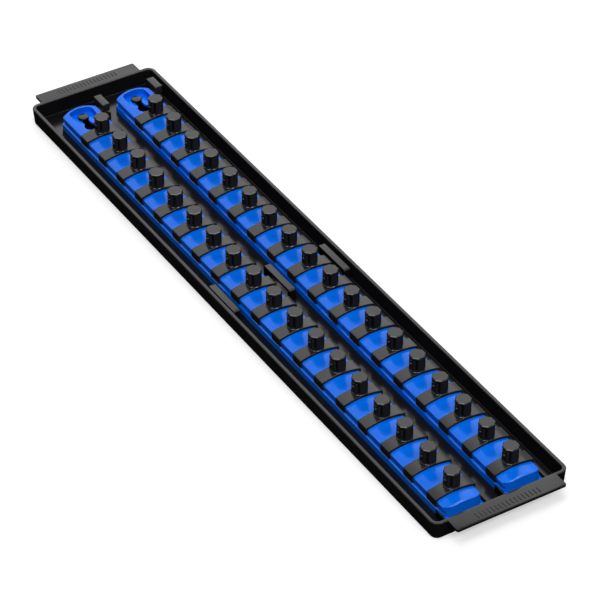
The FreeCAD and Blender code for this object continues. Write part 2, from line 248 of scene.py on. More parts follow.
def sewn_mesh(name, patches, sharp_degrees):
    """Patches are in millimetres. Points nearer than the seam's width become one point."""
    points = np.concatenate([patch.reshape(-1, 3) for patch in patches]) * MM
    starts = np.cumsum([0] + [patch.shape[0] * patch.shape[1] for patch in patches[:-1]])
    faces = np.concatenate([quads(patch, start) for patch, start in zip(patches, starts)])
    mesh = bpy.data.meshes.new(name)
    mesh.from_pydata(points.tolist(), [], faces.tolist())
    quilt = bmesh.new()
    quilt.from_mesh(mesh)
    bmesh.ops.remove_doubles(quilt, verts=quilt.verts, dist=SEAM)
    bmesh.ops.dissolve_degenerate(quilt, edges=quilt.edges, dist=SLIVER)
    bmesh.ops.recalc_face_normals(quilt, faces=quilt.faces)
    open_edges = sum(len(edge.link_faces) != 2 for edge in quilt.edges)
    quilt.to_mesh(mesh)
    quilt.free()
    mesh.shade_smooth()
    mesh.set_sharp_from_angle(angle=math.radians(sharp_degrees))
    if open_edges:
        print(name, "has", open_edges, "open edges")
    return mesh


def sew(name, patches, body, slot, node=None, edge=0.0, sharp_degrees=30):
    """Makes a closed piece from patches; it rides on a body and may stand for a node."""
    mesh = sewn_mesh(name, patches, sharp_degrees)
    piece = bpy.data.objects.new(name, mesh)
    bpy.context.scene.collection.objects.link(piece)
    mesh.materials.append(finishes[slot])
    if edge:
        bevel = piece.modifiers.new("moulded_edge", "BEVEL")
        bevel.width = edge * MM
        bevel.segments = 2
        bevel.limit_method = "ANGLE"
        bevel.angle_limit = math.radians(sharp_degrees)
        bevel.harden_normals = True
    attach(piece, body)
    if node:
        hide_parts(node)
    return piece


print("patches can be sewn into a piece")

# %% [markdown]
# Three kinds of patch make almost everything here. Outlines stacked one above the other make a
# wall, straight lines between two curves make a plate with a hole, and an outline that is the
# same left and right is closed by lines straight across it.

# %% Walls, plates and lids
def rings(outlines):
    """A stack of closed outlines; the first column is repeated at the end to close them."""
    stack = np.stack(outlines)
    return np.concatenate([stack, stack[:, :1]], 1)


def ruled(first, second, steps=1):
    """Straight lines between two curves: first + t (second - first), t from 0 to 1."""
    t = np.linspace(0, 1, steps + 1)[:, None, None]
    return first[None] + t * (second - first)[None]


def lid(outline):
    """Lines across an outline, from point k to its mirror image, point -1-k."""
    half = len(outline) // 2
    return np.stack([outline[:half], outline[::-1][:half]], 1)


def at(outline, z, x=0.0, y=0.0):
    """A flat outline lifted to the height z and moved to (x, y)."""
    return np.column_stack([outline[:, 0] + x, outline[:, 1] + y, np.full(len(outline), z)])


def round_outline(radius, count=32):
    """A circle from just right of its lowest point, so that it is the same left and right."""
    turn = 2 * np.pi * (np.arange(count) + 0.5) / count - np.pi / 2
    return radius * np.column_stack([np.cos(turn), np.sin(turn)])


def corner_outline(half_x, half_y, corner, steps=5):
    """A rectangle whose corners are quarter circles, each cut into equal steps."""
    turn = np.pi / 2 * (np.arange(4)[:, None] - 1 + np.linspace(0, 1, steps + 1))
    sign_x = np.array([1, 1, -1, -1])[:, None]
    sign_y = np.array([-1, 1, 1, -1])[:, None]
    x = sign_x * (half_x - corner) + corner * np.cos(turn)
    y = sign_y * (half_y - corner) + corner * np.sin(turn)
    return np.column_stack([x.ravel(), y.ravel()])


print("a circle in", len(round_outline(1.0)), "points, a rounded corner in",
      len(corner_outline(2.0, 2.0, 1.0)) // 4)

# %% [markdown]
# The small fittings are blocks. A real moulded block is never a plain box: its upright corners
# and its rims are round. A lathed part is the same idea with circles.

# %% Moulded blocks and lathed parts
SMALLEST_CORNER = 0.02


def rim_levels(z0, z1, edge, steps=3):
    """Inset and height up a wall whose foot and rim are quarter circles of radius edge."""
    turn = np.linspace(0, np.pi / 2, steps + 1)
    inset = edge * (1 - np.sin(turn))
    rise = edge * (1 - np.cos(turn))
    return list(zip(inset, z0 + rise)) + list(zip(inset[::-1], z1 - rise[::-1]))


def moulded_block(x0, x1, y0, y1, z0, z1, corner=0.3, edge=0.2):
    """Corner outlines drawn in by the inset at each level, with a lid at each end."""
    half_x, half_y = (x1 - x0) / 2, (y1 - y0) / 2
    outlines = [at(corner_outline(half_x - inset, half_y - inset,
                                  max(corner - inset, SMALLEST_CORNER), steps=3),
                   z, (x0 + x1) / 2, (y0 + y1) / 2)
                for inset, z in rim_levels(z0, z1, edge)]
    return [rings(outlines), lid(outlines[0]), lid(outlines[-1])]


def lathed(profile, x=0.0, y=0.0, count=32):
    """Circles of each (radius, height) in the profile, with a lid at each end."""
    outlines = [at(round_outline(radius, count), z, x, y) for radius, z in profile]
    return [rings(outlines), lid(outlines[0]), lid(outlines[-1])]


print("a block in", sum(patch.shape[0] * patch.shape[1] for patch in
                        moulded_block(0, 1, 0, 1, 0, 1)), "points")

# %% [markdown]
# The pan of the tray is one profile carried round a rounded rectangle. The profile starts under
# the floor, rounds the foot, leans out up the wall, turns over a round rim, comes back down
# inside and ends in a small fillet on the floor. The floor and the underside are lids.

# %% The pan
HALF_WIDTH, tray_far_y, RIM_Z = np.array(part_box("tray")[1]) / MM
FLANGE_REACH = 9.4
HALF_LENGTH = tray_far_y - FLANGE_REACH
WALL, FLOOR, DRAFT, CORNER = 2.5, 1.8, 1.0, 5.5
FOOT_RADIUS, RIM_RADIUS, FILLET = 1.2, 0.5, 0.3
TIGHT_CORNER, TIGHT_CORNER_SHRINK = 2.6, 0.2


def pan_profile(foot=FOOT_RADIUS, rim=RIM_RADIUS, fillet=FILLET, steps=4):
    """(inset, z) pairs; the draft moves the wall in by 1 mm from the rim down to the foot."""
    turn = np.linspace(0, np.pi / 2, steps + 1)
    lean = DRAFT / RIM_Z
    foot_z = foot * (1 - np.cos(turn))
    points = [np.column_stack([DRAFT - lean * foot_z + foot * (1 - np.sin(turn)), foot_z]),
              np.column_stack([lean * rim + rim * (1 - np.cos(turn)),
                               RIM_Z - rim + rim * np.sin(turn)]),
              np.column_stack([WALL - rim + rim * np.sin(turn),
                               RIM_Z - rim + rim * np.cos(turn)]),
              np.column_stack([WALL + DRAFT + fillet * (1 - np.cos(turn)),
                               FLOOR + fillet * (1 - np.sin(turn))])]
    return np.concatenate(points)


def pan_corner(inset):
    """The plan's corner radius: it loses the inset, but near the floor only a fifth of it."""
    return max(CORNER - inset, TIGHT_CORNER - TIGHT_CORNER_SHRINK * inset)


pan_rings = [at(corner_outline(HALF_WIDTH - inset, HALF_LENGTH - inset, pan_corner(inset),
                               steps=8), z) for inset, z in pan_profile()]
sew("tray_pan", [rings(pan_rings), lid(pan_rings[0]), lid(pan_rings[-1])],
    "tray", "tray_black", node="tray", sharp_degrees=50)
print("the pan has", len(pan_rings), "rings")

# %% [markdown]
# A flat tongue runs out from the rim at each end, for pulling the tray out of a drawer. Its top
# is a hair above the rim, so that the two tops don't flicker through each other. A row of short
# raised ribs in the middle keeps a finger from slipping.

# %% Pull flanges and their grip
FLANGE_HALF_WIDTH, FLANGE_THICKNESS, FLANGE_ROOT, HAIR = 37.0, 1.9, 1.9, 0.02
RIB_COUNT, RIB_PITCH, RIB_WIDTH, RIB_LENGTH, RIB_HEIGHT, RIB_SUNK = 17, 2.6, 1.0, 4.6, 0.28, 0.2


def pull_flange(end):
    """A block from inside the end wall out to the tip; end is 1 for far and -1 for near."""
    y_wall, y_tip = HALF_LENGTH - FLANGE_ROOT, HALF_LENGTH + FLANGE_REACH
    y0, y1 = sorted((end * y_wall, end * y_tip))
    return moulded_block(-FLANGE_HALF_WIDTH, FLANGE_HALF_WIDTH, y0, y1,
                         RIM_Z - FLANGE_THICKNESS, RIM_Z + HAIR, corner=1.2, edge=0.3)


def grip_ribs(end):
    """Short blocks side by side, centred on the flange and sunk a little into it."""
    y = end * (HALF_LENGTH + FLANGE_REACH / 2)
    patches = []
    for number in range(RIB_COUNT):
        x = (number - (RIB_COUNT - 1) / 2) * RIB_PITCH
        patches += moulded_block(x - RIB_WIDTH / 2, x + RIB_WIDTH / 2,
                                 y - RIB_LENGTH / 2, y + RIB_LENGTH / 2,
                                 RIM_Z - RIB_SUNK, RIM_Z + RIB_HEIGHT, corner=0.45, edge=0.18)
    return patches


for side, end in (("far", 1), ("near", -1)):
    sew("pull_flange_" + side, pull_flange(end), "tray", "tray_black", node="tray")
    sew("grip_ribs_" + side, grip_ribs(end), "tray", "tray_black")
print("two pull flanges with", RIB_COUNT, "ribs each")

# %% [markdown]
# Near the pull end, each rail's toe goes in under a lip on the wall, between two thin cheeks.
# The lip and the cheeks are blocks that start a little inside the wall and the floor, so that
# no gap shows at their roots.

# %% Cheeks and lips
RAIL_HALF = 13.3
NEAR_WALL = -HALF_LENGTH + WALL + DRAFT
IN_WALL = 1.2
LIP_REACH, LIP_Z0, LIP_Z1 = 2.6, 5.1, 6.7
CHEEK_GAP, CHEEK_THICKNESS, CHEEK_LENGTH, CHEEK_HEIGHT, CHEEK_SUNK = 0.3, 1.0, 12.5, 5.2, 0.4


def rail_middle(side):
    """The x of a rail's middle line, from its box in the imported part."""
    low, high = (np.array(corner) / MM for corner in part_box("rail_" + side))
    return (low[0] + high[0]) / 2


def cheeks_and_lip(x):
    """One block across for the lip, and one along each side of the rail for the cheeks."""
    inside = RAIL_HALF + CHEEK_GAP
    patches = moulded_block(x - inside, x + inside, NEAR_WALL - IN_WALL,
                            NEAR_WALL + LIP_REACH, LIP_Z0, LIP_Z1, corner=0.1, edge=0.15)
    for hand in (-1, 1):
        x0, x1 = sorted((x + hand * inside, x + hand * (inside + CHEEK_THICKNESS)))
        patches += moulded_block(x0, x1, NEAR_WALL - IN_WALL, NEAR_WALL + CHEEK_LENGTH,
                                 FLOOR - CHEEK_SUNK, FLOOR + CHEEK_HEIGHT, corner=0.15, edge=0.2)
    return patches


print("toe holds", round(2 * (RAIL_HALF + CHEEK_GAP), 1), "mm wide inside")

# %% [markdown]
# Beside the far end of each rail, two ears carry the latch. An ear is a plate with a bore: its
# faces are straight lines from the outline to a circle, so the bore is really open. Then the
# toe holds and the ears are sewn for both rails.

# %% Latch ears
LATCH_ASIDE, LATCH_Y0, LATCH_Y1, LATCH_AXIS_Z = 18.4, 217.5, 230.2, 3.05
EAR_HALF, EAR_BORE, EAR_SUNK, EAR_GAP, EAR_FAR_FACE = 2.4, 0.87, 0.3, 0.3, 1.9


def latch_ear(x, y0, y1, count=24):
    """Outline and bore both as circles of count points; the outline is pushed out square."""
    circle = round_outline(1.0, count)
    square = circle / np.abs(circle).max(1, keepdims=True)
    outer_x, outer_z = x + EAR_HALF * square[:, 0], LATCH_AXIS_Z + EAR_HALF * square[:, 1]
    outer_z = np.maximum(outer_z, FLOOR - EAR_SUNK)
    bore_x, bore_z = x + EAR_BORE * circle[:, 0], LATCH_AXIS_Z + EAR_BORE * circle[:, 1]

    def upright(xs, zs, y):
        """An outline in the upright plane at y."""
        return np.column_stack([xs, np.full(count, y), zs])

    return [rings([upright(bore_x, bore_z, y0), upright(outer_x, outer_z, y0),
                   upright(outer_x, outer_z, y1), upright(bore_x, bore_z, y1),
                   upright(bore_x, bore_z, y0)])]


for side in ("left", "right"):
    x = rail_middle(side)
    sew("toe_hold_" + side, cheeks_and_lip(x), "tray", "tray_black", node="tray")
    sew("latch_ears_" + side,
        latch_ear(x + LATCH_ASIDE, LATCH_Y0 - EAR_FAR_FACE, LATCH_Y0 - EAR_GAP)
        + latch_ear(x + LATCH_ASIDE, LATCH_Y1 + EAR_GAP, LATCH_Y1 + EAR_FAR_FACE),
        "tray", "tray_black", node="tray", edge=0.2)
print("a toe hold and a pair of ears", round(EAR_FAR_FACE - EAR_GAP, 1), "mm thick on each side")

# %% [markdown]
# Half way along, three little bridges stand on the floor, one between the rails and one at each
# wall. A bridge is a bar's cross-section carried along a path: up one leg, over, and down.

# %% Bridges
BRIDGE_HALF_WIDTH, BRIDGE_SUNK = 2.2, 0.2


def bridge(x, y, half=15.5, top=10.0, plate=1.8, leg=2.6, corner=1.3, steps=6):
    """Outer and inner lines of half the arch, mirrored, then set a bar's width apart."""
    turn = np.linspace(0, np.pi / 2, steps)
    foot = FLOOR - BRIDGE_SUNK
    outer = np.column_stack([np.append(half, half - corner + corner * np.cos(turn)),
                             np.append(foot, top - corner + corner * np.sin(turn))])
    inner_z = np.append(foot, np.linspace(top - plate - 1, top - plate, steps))
    inner = np.column_stack([np.full(steps + 1, half - leg), inner_z])
    corners = []
    for line, hand in ((outer, -1), (outer, 1), (inner, 1), (inner, -1)):
        arch = np.concatenate([line, (line * [-1, 1])[::-1]]) + [y, 0]
        corners.append(np.insert(arch, 0, x + hand * BRIDGE_HALF_WIDTH, axis=1))
    feet = [np.stack([np.stack([corners[0][end], corners[1][end]]),
                      np.stack([corners[3][end], corners[2][end]])]) for end in (0, -1)]
    return [np.stack(corners + corners[:1])] + feet


bridge_low, bridge_high = (np.array(corner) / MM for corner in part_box("mid_bridges"))
wall_bridge_x = bridge_high[0] - BRIDGE_HALF_WIDTH
bridge_y = (bridge_low[1] + bridge_high[1]) / 2
bridges = [patch for x in (-wall_bridge_x, 0, wall_bridge_x) for patch in bridge(x, bridge_y)]
sew("mid_bridges", bridges, "tray", "tray_black", node="mid_bridges", edge=0.25)
print("three bridges at y", round(bridge_y, 1), "mm")

# %% [markdown]
# A rail is its cross-section carried along the tray. The section has a foot, a groove in each
# flank for the clips' hooks, a narrow bevel and a crowned top that is part of a big circle. Its
# flank is three bands of (half width, height) pairs. The far end follows an arc across the
# rail. The near end, the nose, leans back as it rises and has round corners. So where a line of
# the section ends depends on its x and its height.

# %% The rail's section and its two ends
GROOVE_HALF = 11.3
CROWN_EDGE_HALF, CROWN_EDGE_Z, CROWN_Z = 11.9, 10.95, 12.6
FOOT_BAND = [(RAIL_HALF, FLOOR), (RAIL_HALF, 5.7), (12.7, 6.3)]
GROOVE_BAND = [(GROOVE_HALF, 6.3), (GROOVE_HALF, 8.1)]
TOP_BAND = [(12.5, 8.1), (12.5, 10.3), (CROWN_EDGE_HALF, CROWN_EDGE_Z)]
FAR_Y, FAR_BULGE = 219.5, 3.3
NOSE_Y, NOSE_SLOPE, NOSE_CORNER, TOE_TOP = -232.2, 1.6, 6.5, 4.8
CREST_SETBACK = 0.8


def arc_radius(half, rise):
    """The circle through a chord's two ends and a point that rises above its middle."""
    return (half ** 2 + rise ** 2) / (2 * rise)


CROWN_DROP = CROWN_Z - CROWN_EDGE_Z
CROWN_RADIUS = arc_radius(CROWN_EDGE_HALF, CROWN_DROP)
FAR_RADIUS = arc_radius(RAIL_HALF, FAR_BULGE)


def arc(x, radius, crest):
    """Height of a circle's top arc at x: crest - radius + sqrt(radius^2 - x^2)."""
    return crest - radius + np.sqrt(radius ** 2 - np.square(x))


def crown(x):
    """Height of the crown at x, an arc of a big circle."""
    return arc(x, CROWN_RADIUS, CROWN_Z)


def far_y(x, z):
    """The far end at x, the same at every height: an arc that bulges away from the clips."""
    return arc(x, FAR_RADIUS, FAR_Y + FAR_BULGE) + 0 * z


def near_y(x, z):
    """The nose leans back with height; its corners are quarter circles in plan."""
    lean = NOSE_SLOPE * np.clip((CROWN_Z - z) / (CROWN_Z - TOE_TOP), 0, 1)
    into_corner = np.clip(np.abs(x) - (RAIL_HALF - NOSE_CORNER), 0, NOSE_CORNER)
    return NOSE_Y - lean + NOSE_CORNER - np.sqrt(NOSE_CORNER ** 2 - into_corner ** 2)


def crest_y(x, z):
    """The crown starts a little behind the nose, and the more so the higher it is."""
    return near_y(x, z) + CREST_SETBACK * (crown(x) - CROWN_EDGE_Z) / CROWN_DROP


print("crown radius", round(CROWN_RADIUS, 1), "mm, far arc radius", round(FAR_RADIUS, 1), "mm")

# %% [markdown]
# At the far end the crown is sunk into a pocket, and the pocket's floor has a keyhole: a round
# hole that the pin's head passes, with a narrow slot for the pin's neck. Both outlines are
# found as dense lines first, then cut into as many steps as the face round them needs.

# %% The pocket and the keyhole in outline
POCKET_FAR_HALF, POCKET_NEAR_HALF, POCKET_CORNER = 8.3, 7.9, 2.2
POCKET_BEHIND_HOLE, POCKET_RIM, POCKET_BEND_RISE = 9.8, 1.4, 0.6
HOLE_Y, HOLE_RADIUS, SLOT_HALF, PIN_Y = 205.3, 4.2, 2.45, 215.3


def spread(line, count):
    """count points at equal steps of length along a line of dense points."""
    length = np.append(0, np.cumsum(np.linalg.norm(np.diff(line, axis=0), axis=1)))
    steps = np.linspace(0, length[-1], count)
    return np.column_stack([np.interp(steps, length, line[:, axis]) for axis in range(2)])


def rounded_corner(before, corner, after, radius=POCKET_CORNER, steps=8):
    """A quadratic curve (1-t)^2 start + 2t(1-t) corner + t^2 end, between points on each arm."""
    before, corner, after = (np.array(point, float) for point in (before, corner, after))
    to_start = (before - corner) / np.linalg.norm(before - corner)
    to_end = (after - corner) / np.linalg.norm(after - corner)
    t = np.linspace(0, 1, steps)[:, None]
    start, end = corner + radius * to_start, corner + radius * to_end
    return (1 - t) ** 2 * start + 2 * t * (1 - t) * corner + t ** 2 * end


def pocket_half():
    """The right half of the pocket, from the middle of its near edge to the middle of its arc."""
    near = HOLE_Y - POCKET_BEHIND_HOLE
    crest = FAR_Y + FAR_BULGE - POCKET_RIM
    side_top = arc(POCKET_FAR_HALF, FAR_RADIUS, crest)
    widest = (POCKET_FAR_HALF, PIN_Y)
    bend = rounded_corner(widest, (POCKET_FAR_HALF, side_top), (0, crest + POCKET_BEND_RISE))
    sweep = np.linspace(bend[-1, 0], 0, 14)
    return np.concatenate([
        [[0, near]], rounded_corner((0, near), (POCKET_NEAR_HALF, near), widest),
        [widest], bend[:-1], np.column_stack([sweep, arc(sweep, FAR_RADIUS, crest)])])


def keyhole_half():
    """Round the hole to the slot, along the slot, and round its end."""
    meet = np.arccos(SLOT_HALF / HOLE_RADIUS)
    hole = np.linspace(-np.pi / 2, meet, 24)
    end = np.linspace(0, np.pi / 2, 10)
    return np.concatenate([
        np.column_stack([HOLE_RADIUS * np.cos(hole), HOLE_Y + HOLE_RADIUS * np.sin(hole)]),
        np.column_stack([SLOT_HALF * np.cos(end), PIN_Y + SLOT_HALF * np.sin(end)])])


print("the pocket is", round(pocket_half()[-1, 1] - pocket_half()[0, 1], 1), "mm long")

# %% [markdown]
# Every face of the rail is a grid between lines that run across it or along it. The lines
# across share their inner points at every height, so that the patches meet point on point, and
# a few more points, the brim, fill the step from the groove out to the flank.

# %% Lines across and along a rail
BORDER_Y = 194.5
ACROSS = np.linspace(-GROOVE_HALF, GROOVE_HALF, 17)
BRIM = np.array([0.4, 0.7, 0.9, 1.0])
ALONG = np.linspace(0, 1, 9)
POCKET_FLOOR, PLATE_THICKNESS = 8.0, 1.5


def across(half):
    """Points across the rail: the same inner ones at every height, with a brim at each side."""
    if half <= GROOVE_HALF:
        return ACROSS
    side = GROOVE_HALF + (half - GROOVE_HALF) * BRIM
    return np.concatenate([-side[::-1], ACROSS, side])


def line_across(half, z, end_y):
    """A line across one end of the rail, at a height z and at the y that the end has there."""
    x = across(half)
    return np.column_stack([x, end_y(x, z), z + 0 * x])


def flank_line():
    """The flank from foot to crown, with the brim's points in the floor and roof of the groove."""
    (floor_x, floor_z), (roof_x, roof_z) = FOOT_BAND[-1], TOP_BAND[0]
    groove_floor = GROOVE_HALF + (floor_x - GROOVE_HALF) * BRIM[-2::-1]
    groove_roof = GROOVE_HALF + (roof_x - GROOVE_HALF) * BRIM[:-1]
    return np.concatenate([
        FOOT_BAND, np.column_stack([groove_floor, np.full(3, floor_z)]),
        GROOVE_BAND, np.column_stack([groove_roof, np.full(3, roof_z)]), TOP_BAND])


def underside(x):
    """The height of the rail's underside, which lies on the tray's floor."""
    return 0 * x + FLOOR


def pocket_floor(x):
    """The height of the pocket's floor."""
    return 0 * x + POCKET_FLOOR


def cavity_roof(x):
    """The height of the hollow under the pocket's floor, which is a thin plate."""
    return 0 * x + POCKET_FLOOR - PLATE_THICKNESS


print("a line across the crown has", len(across(CROWN_EDGE_HALF)), "points")

# %% [markdown]
# The flanks and the plain crown run from the nose to just before the pocket. The two ends are
# stacks of lines across the rail, one for each height in the section. The nose turns over into
# the crown in one more line, a little above the bevel and not yet set back.

# %% Flanks, crown and ends
CREST_TURN = 0.6


def end_lines(band, end_y):
    """Lines across an end, one for each (half width, height) of a band."""
    return [line_across(half, z, end_y) for half, z in band]


def flanks_and_ends():
    """Both flanks with their groove, the plain crown and underside, and both end faces."""
    patches = []
    x, z = flank_line().T
    for mirror in (1, -1):
        rows = [near_y(x, z)] + list(BORDER_Y + (far_y(x, z) - BORDER_Y) * ALONG[:, None])
        patches.append(np.stack([np.column_stack([mirror * x, y, z]) for y in rows]))
    for half, height, start in ((CROWN_EDGE_HALF, crown, crest_y), (RAIL_HALF, underside, near_y)):
        x = across(half)
        patches.append(ruled(np.column_stack([x, start(x, height(x)), height(x)]),
                             np.column_stack([x, 0 * x + BORDER_Y, height(x)])))
    z = crown(across(CROWN_EDGE_HALF))
    turn_z = CROWN_EDGE_Z + CREST_TURN * (z - CROWN_EDGE_Z)
    near_top = [line_across(CROWN_EDGE_HALF, turn_z, near_y),
                line_across(CROWN_EDGE_HALF, z, crest_y)]
    far_top = [line_across(CROWN_EDGE_HALF, z, far_y)]
    for end_y, top in ((near_y, near_top), (far_y, far_top)):
        patches += [np.stack(end_lines(FOOT_BAND, end_y)), np.stack(end_lines(GROOVE_BAND, end_y)),
                    np.stack(end_lines(TOP_BAND, end_y) + top)]
    return patches


print("flanks, crown and ends in", len(flanks_and_ends()), "patches")

# %% [markdown]
# Round the pocket the crown becomes a plate with the pocket's outline cut in it: straight lines
# in plan from a border to the pocket, lifted onto the crown. The pocket's floor is such a plate
# round the keyhole, and so are the roof of the hollow below it and the underside.

# %% The keyhole end
CAVITY_SHARE = 0.95


def border_half(half):
    """The right half of the border round the pocket: near line, side, then far line."""
    x = across(half)
    x = x[x >= 0]
    side_y = BORDER_Y + (far_y(half, 0) - BORDER_Y) * ALONG
    near = np.column_stack([x, np.full(len(x), BORDER_Y)])
    side = np.column_stack([0 * side_y + half, side_y])
    far = np.column_stack([x, far_y(x, 0)])[::-1]
    return np.concatenate([near[:-1], side, far[1:]])


def plate_with_hole(border, hole, height, steps=1):
    """Straight lines in plan from a border's right half to a hole's, and their mirror image."""
    both = []
    for mirror in (1, -1):
        plan = ruled(border * [mirror, 1], hole * [mirror, 1], steps)
        both.append(np.concatenate([plan, height(plan[..., :1])], -1))
    return both


def keyhole_patches():
    """The crown, the pocket's thin floor and the underside as plates, and the walls between."""
    top_border, foot_border = border_half(CROWN_EDGE_HALF), border_half(RAIL_HALF)
    pocket = spread(pocket_half(), len(top_border))
    keyhole = spread(keyhole_half(), len(top_border))
    middle = pocket[[0, -1]].mean(0)
    cavity = middle + CAVITY_SHARE * (pocket - middle)
    patches = (plate_with_hole(top_border, pocket, crown, steps=3)
               + plate_with_hole(pocket, keyhole, pocket_floor)
               + plate_with_hole(cavity, keyhole, cavity_roof)
               + plate_with_hole(foot_border, cavity, underside))
    for outline, top, foot in ((pocket, crown, pocket_floor), (keyhole, pocket_floor, cavity_roof),
                               (cavity, cavity_roof, underside)):
        for mirror in (1, -1):
            x, y = outline.T
            patches.append(ruled(np.column_stack([mirror * x, y, top(x)]),
                                 np.column_stack([mirror * x, y, foot(x)])))
    return patches


print("the keyhole end in", len(keyhole_patches()), "patches")

# %% [markdown]
# The toe is the low front of the rail, which goes in under the lip. It is a moulded block that
# runs back into the nose. With it the rail is whole, and both rails are the same shape at two
# places.

# %% The rails
TOE_GAP, TOE_SHORT = 0.3, 0.1


def moved(patches, place):
    """The same patches with (x, y, z) added to every point."""
    return [patch + place for patch in patches]


toe = moulded_block(-RAIL_HALF, RAIL_HALF, NEAR_WALL + TOE_GAP,
                    NOSE_Y - NOSE_SLOPE + NOSE_CORNER - TOE_SHORT, FLOOR, TOE_TOP,
                    corner=0.4, edge=0.25)
rail_shape = flanks_and_ends() + keyhole_patches() + toe
for side in ("left", "right"):
    sew("rail_body_" + side, moved(rail_shape, [rail_middle(side), 0, 0]), "rail_" + side,
        "rail_blue", node="rail_" + side, edge=0.45, sharp_degrees=25)
print("two rails of", len(rail_shape), "patches each")

# %% [markdown]
# A mushroom pin in the tray's floor holds each rail: the head passes the keyhole's round hole,
# and the neck slides into the slot. It is one lathed profile of (radius, height) pairs.

# %% Rail pins
PIN_PROFILE = [(1.5, 0.0), (1.5, 1.8), (2.3, 1.8), (2.3, 8.3), (3.5, 8.3), (3.5, 9.5),
               (3.45, 9.69), (3.35, 9.85), (3.19, 9.96), (3.0, 10.0)]
sew("rail_pins", lathed(PIN_PROFILE, rail_middle("left"), PIN_Y)
    + lathed(PIN_PROFILE, rail_middle("right"), PIN_Y),
    "tray", "tray_black", node="rail_pins", edge=0.12)
print("two rail pins at y", PIN_Y, "mm")

# %% [markdown]
# The latch beside each rail turns on two stubs in the ears. It is a lathed axle, a web, a block
# that a finger pushes, and a pad that reaches over to the rail. The blocks end a hair inside one
# another, so that no two faces lie in one plane.

# %% Latches
STUB_RADIUS, AXLE_RADIUS, STUB_LENGTH = 0.8, 1.2, 1.2
WEB_HALF, WEB_TOP = 1.2, 6.0
BLOCK_HALF, BLOCK_Z0, BLOCK_Z1 = 2.7, 5.75, 11.5
PAD_GAP, PAD_LENGTH, PAD_IN_BLOCK, PAD_Z0, PAD_Z1 = 0.3, 4.0, 1.0, 5.77, 7.95


def latch_patches(x):
    """The axle is lathed upright and then laid along y by swapping its axes."""
    length = LATCH_Y1 - LATCH_Y0
    axle = [(STUB_RADIUS, -STUB_LENGTH), (STUB_RADIUS, 0), (AXLE_RADIUS, 0),
            (AXLE_RADIUS, length), (STUB_RADIUS, length), (STUB_RADIUS, length + STUB_LENGTH)]
    middle = x + LATCH_ASIDE
    patches = [patch[..., [0, 2, 1]] + [middle, LATCH_Y0, LATCH_AXIS_Z]
               for patch in lathed(axle, count=24)]
    patches += moulded_block(middle - WEB_HALF, middle + WEB_HALF, LATCH_Y0 + HAIR,
                             LATCH_Y1 - HAIR, LATCH_AXIS_Z, WEB_TOP, corner=0.1, edge=0.1)
    patches += moulded_block(middle - BLOCK_HALF, middle + BLOCK_HALF, LATCH_Y0, LATCH_Y1,
                             BLOCK_Z0, BLOCK_Z1, corner=0.5, edge=0.4)
    patches += moulded_block(x + RAIL_HALF + PAD_GAP, middle - PAD_IN_BLOCK, LATCH_Y0 + HAIR / 2,
                             LATCH_Y0 + PAD_LENGTH, PAD_Z0, PAD_Z1, corner=0.2, edge=0.25)
    return patches


for side in ("left", "right"):
    sew("latch_finger_" + side, latch_patches(rail_middle(side)), "latch_" + side,
        "clip_black", node="latch_" + side)
print("two latches", round(LATCH_Y1 - LATCH_Y0, 1), "mm long")

# %% [markdown]
# A post is a square drive with its corners cut off, on a round collar. A slot right across it
# frees a springy finger on one side, which grips the socket with a bump and is pulled back by a
# catch at its tip. Stacking the eight-sided outline shows how: between the sill and the head,
# the outline's x is held at the slot's inner wall.

# %% The post's outlines
POST_HALF, POST_CUT, POST_TOP, POST_BEVEL = 4.65, 2.7, 25.4, 0.4
SLOT_WALL, SILL_Z, HEAD_Z, COLLAR_Z, BODY_Z = -2.0, 15.5, 23.9, 14.4, 15.2
FINGER_FRONT, FINGER_BACK, FINGER_GAP = -4.15, -3.2, 1.1


def eight_sided(inset, z, least_x=-10.0):
    """The octagon at an inset, with nothing further left than least_x."""
    half = POST_HALF - inset
    inner = POST_HALF - POST_CUT - inset * (math.sqrt(2) - 1)
    x = np.array([inner, half, half, inner, -inner, -half, -half, -inner])
    y = np.array([-half, -inner, inner, half, half, inner, -inner, -half])
    return at(np.column_stack([np.maximum(x, least_x), y]), z)


def finger_outline(z, front=FINGER_FRONT, back=FINGER_BACK):
    """A slice of the octagon: its depth in y is what the cut corner leaves at that x."""
    front_y, back_y = (POST_HALF - (-x - (POST_HALF - POST_CUT)) for x in (front, back))
    return np.array([[back, -back_y, z], [back, back_y, z],
                     [front, front_y, z], [front, -front_y, z]])


def grip_bump(x, z, radius=1.0, steps=12):
    """A ball: circles of radius sin(u) about the x axis, at x + radius cos(u)."""
    u, v = np.meshgrid(np.linspace(0, np.pi, steps + 1), np.linspace(0, 2 * np.pi, 2 * steps + 1),
                       indexing="ij")
    return [np.stack([x + radius * np.cos(u), radius * np.sin(u) * np.cos(v),
                      z + radius * np.sin(u) * np.sin(v)], -1)]


print("the post is", 2 * POST_HALF, "mm across and stands up to", POST_TOP, "mm")

# %% [markdown]
# Below the collar a short neck goes down into the saddle, and two locking lobes at its foot
# keep the post from being pulled out. The patches of one post are made once.

# %% One post
NECK_RADIUS, NECK_Z, COLLAR_RADIUS, SUNK = 2.9, 12.85, 5.0, 0.1
COLLAR_FOOT_BEVEL, COLLAR_TOP_BEVEL = 0.1, 0.4
LOBE_HALF_LENGTH, LOBE_HALF_WIDTH, LOBE_Z0, LOBE_Z1 = 4.3, 1.5, 12.84, 13.5
BUMP_BELOW_HEAD, CATCH_FOOT_BELOW_HEAD, CATCH_TIP_BELOW_HEAD = 4.4, 2.0, 1.12
CATCH_FRONT, CATCH_BACK, CATCH_HALF_WIDTH = -4.95, -3.9, 1.2


